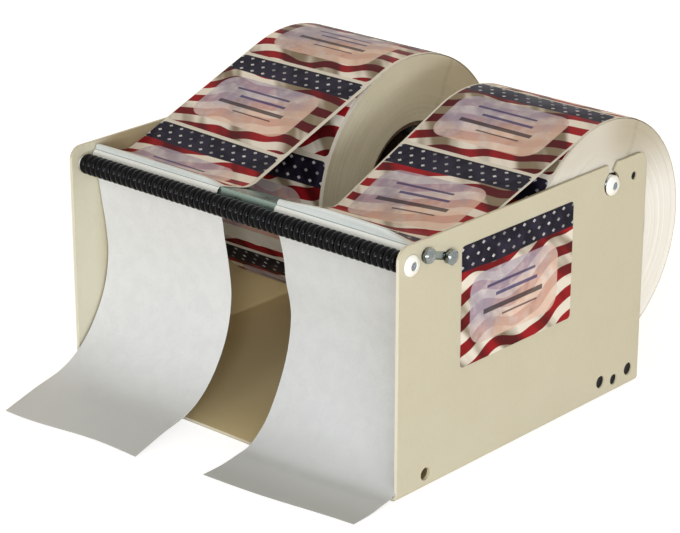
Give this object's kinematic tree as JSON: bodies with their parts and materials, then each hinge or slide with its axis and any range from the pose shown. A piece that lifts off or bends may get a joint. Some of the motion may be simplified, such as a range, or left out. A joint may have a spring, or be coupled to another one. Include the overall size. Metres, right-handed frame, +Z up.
{
  "type": "label dispenser",
  "caption": "Desk-top label dispenser: folded steel frame with a lift-out spindle for wide label rolls, a sloping peel bar and a ribbed front roller that draws the waste liner down.",
  "frame": {"origin": "centre of the base's underside, on the surface that the dispenser stands on", "axes": "+Z up; +X to the right of the person who pulls the labels off at the front; +Y from the front roller towards the label rolls"},
  "size_m": [0.2694, 0.334, 0.1861],
  "materials": {
    "cream_powder_coat": "satin, fine orange peel",
    "zinc_plated_bar": "zinc plated, satin",
    "fastener_steel": "zinc plated, bright",
    "shaft_steel": "ground, bright",
    "black_rubber": "semi-matte, ribbed",
    "white_nylon": "satin",
    "cardboard": "matte",
    "wound_label_stock": "matte edge of wound paper",
    "label_stock": "printed, satin",
    "glassine_liner": "smooth, translucent"
  },
  "bodies": {
    "frame": {"frame_channel": "cream_powder_coat", "peel_bar": "zinc_plated_bar", "left_front_bar_bolt": "fastener_steel", "left_rear_bar_bolt": "fastener_steel", "right_front_bar_bolt": "fastener_steel", "right_rear_bar_bolt": "fastener_steel", "left_front_lock_washer": "fastener_steel", "left_rear_lock_washer": "fastener_steel", "right_front_lock_washer": "fastener_steel", "right_rear_lock_washer": "fastener_steel", "left_roller_bushing": "white_nylon", "right_roller_bushing": "white_nylon", "left_label_web": "label_stock", "right_label_web": "label_stock", "left_liner_tail": "glassine_liner", "right_liner_tail": "glassine_liner", "side_sample_label": "label_stock"},
    "roller": {"roller_shaft": "shaft_steel", "ribbed_roller": "black_rubber"},
    "spindle_bearings": {"left_spindle_bearing": "white_nylon", "right_spindle_bearing": "white_nylon"},
    "spindle": {"spindle_rod": "shaft_steel"},
    "left_roll": {"left_core": "cardboard", "left_label_roll": "wound_label_stock"},
    "right_roll": {"right_core": "cardboard", "right_label_roll": "wound_label_stock"}
  },
  "joints": [
    {"name": "roller_spin", "type": "hinge", "parent": "frame", "child": "roller", "pos_m": [0, -0.104, 0.1384], "axis": [1, 0, 0], "continuous": true},
    {"name": "spindle_lift", "type": "slide", "parent": "frame", "child": "spindle_bearings", "axis": [0, 0, 1], "range_m": [0, 0.026], "deforming": ["left_label_web", "right_label_web"]},
    {"name": "spindle_spin", "type": "hinge", "parent": "spindle_bearings", "child": "spindle", "pos_m": [0, 0.0789, 0.13686], "axis": [1, 0, 0], "continuous": true},
    {"name": "left_roll_spin", "type": "hinge", "parent": "spindle_bearings", "child": "left_roll", "pos_m": [-0.0751, 0.077, 0.10209], "axis": [1, 0, 0], "continuous": true},
    {"name": "right_roll_spin", "type": "hinge", "parent": "spindle_bearings", "child": "right_roll", "pos_m": [0.0751, 0.077, 0.10209], "axis": [1, 0, 0], "continuous": true}
  ]
}
